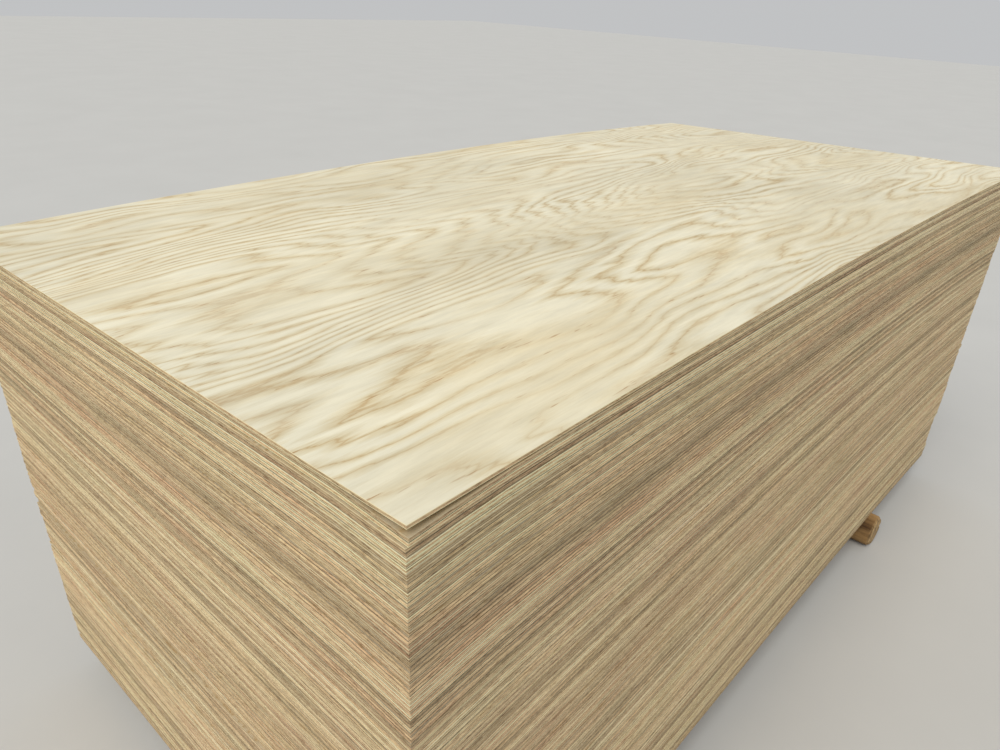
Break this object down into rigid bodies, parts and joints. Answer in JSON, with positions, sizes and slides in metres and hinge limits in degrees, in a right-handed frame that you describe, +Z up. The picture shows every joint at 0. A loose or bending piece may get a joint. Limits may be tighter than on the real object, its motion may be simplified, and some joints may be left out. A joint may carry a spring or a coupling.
{
  "type": "stack of plywood sheets",
  "caption": "Tall pile of thin pine-faced plywood sheets bowed over two round timber bearers, looser and fanned open at its top, with a fork gap underneath.",
  "frame": {"origin": "on the floor under the middle of the pile", "axes": "+X along the sheets' length, +Y across them along the bearers, +Z up"},
  "size_m": [2.445, 1.28, 1.1052],
  "materials": {
    "face_veneer": "sanded rotary-cut pine face, pale cream with flowing tan growth lines",
    "plywood_edge": "sawn plywood edges, tan cores between thin cream face veneers and dark glue lines",
    "raw_billet": "rough peeled round timber, brown and weathered"
  },
  "bodies": {
    "root": {"top_sheet": "face_veneer", "sheets_24": "plywood_edge", "sheets_23": "plywood_edge", "sheets_22": "plywood_edge", "sheets_21": "plywood_edge", "sheets_20": "plywood_edge", "sheets_19": "plywood_edge", "sheets_18": "plywood_edge", "sheets_17": "plywood_edge", "sheets_16": "plywood_edge", "sheets_15": "plywood_edge", "sheets_14": "plywood_edge", "sheets_13": "plywood_edge", "sheets_12": "plywood_edge", "sheets_11": "plywood_edge", "sheets_10": "plywood_edge", "sheets_09": "plywood_edge", "sheets_08": "plywood_edge", "sheets_07": "plywood_edge", "sheets_06": "plywood_edge", "sheets_05": "plywood_edge", "sheets_04": "plywood_edge", "sheets_03": "plywood_edge", "sheets_02": "plywood_edge", "sheets_01": "plywood_edge", "bearer_left": "raw_billet", "bearer_right": "raw_billet"}
  },
  "joints": []
}
